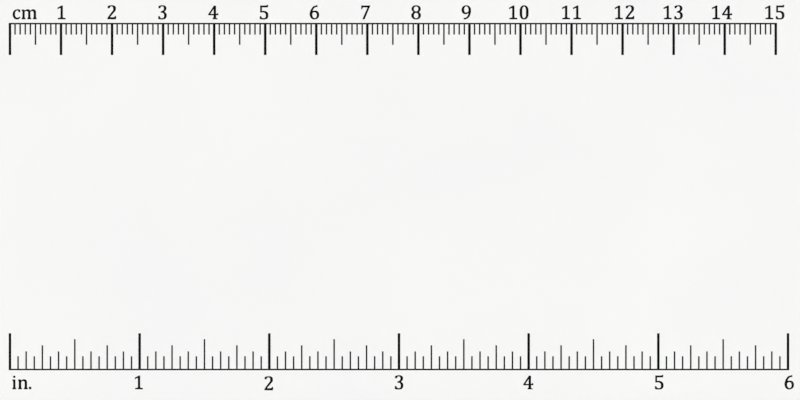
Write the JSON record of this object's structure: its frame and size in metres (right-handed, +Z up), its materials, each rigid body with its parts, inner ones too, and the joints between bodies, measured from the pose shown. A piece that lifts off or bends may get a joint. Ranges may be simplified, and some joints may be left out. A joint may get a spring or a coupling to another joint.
{
  "type": "ruler",
  "caption": "Flat white cork-backed ruler with a centimetre scale along one long edge and an inch scale along the other, marks pointing inwards.",
  "frame": {"origin": "centre of the underside, where the cork rests", "axes": "+X along both scales from zero towards the higher numbers, +Y from the inch edge towards the centimetre edge, +Z up out of the reading face"},
  "size_m": [0.16, 0.08, 0.0031],
  "materials": {
    "white_enamel": "satin white enamel baked on an aluminium plate",
    "black_enamel": "black enamel filled into the engraved marks",
    "cork": "fine-grained cork sheet",
    "adhesive_film": "thin bonding film"
  },
  "bodies": {
    "root": {"plate": "white_enamel", "backing_adhesive": "adhesive_film", "cork_backing": "cork", "metric_baseline": "black_enamel", "centimetre_marks": "black_enamel", "half_centimetre_marks": "black_enamel", "millimetre_marks": "black_enamel", "inch_baseline": "black_enamel", "inch_marks": "black_enamel", "half_inch_marks": "black_enamel", "quarter_inch_marks": "black_enamel", "eighth_inch_marks": "black_enamel", "sixteenth_inch_marks": "black_enamel"}
  },
  "joints": []
}
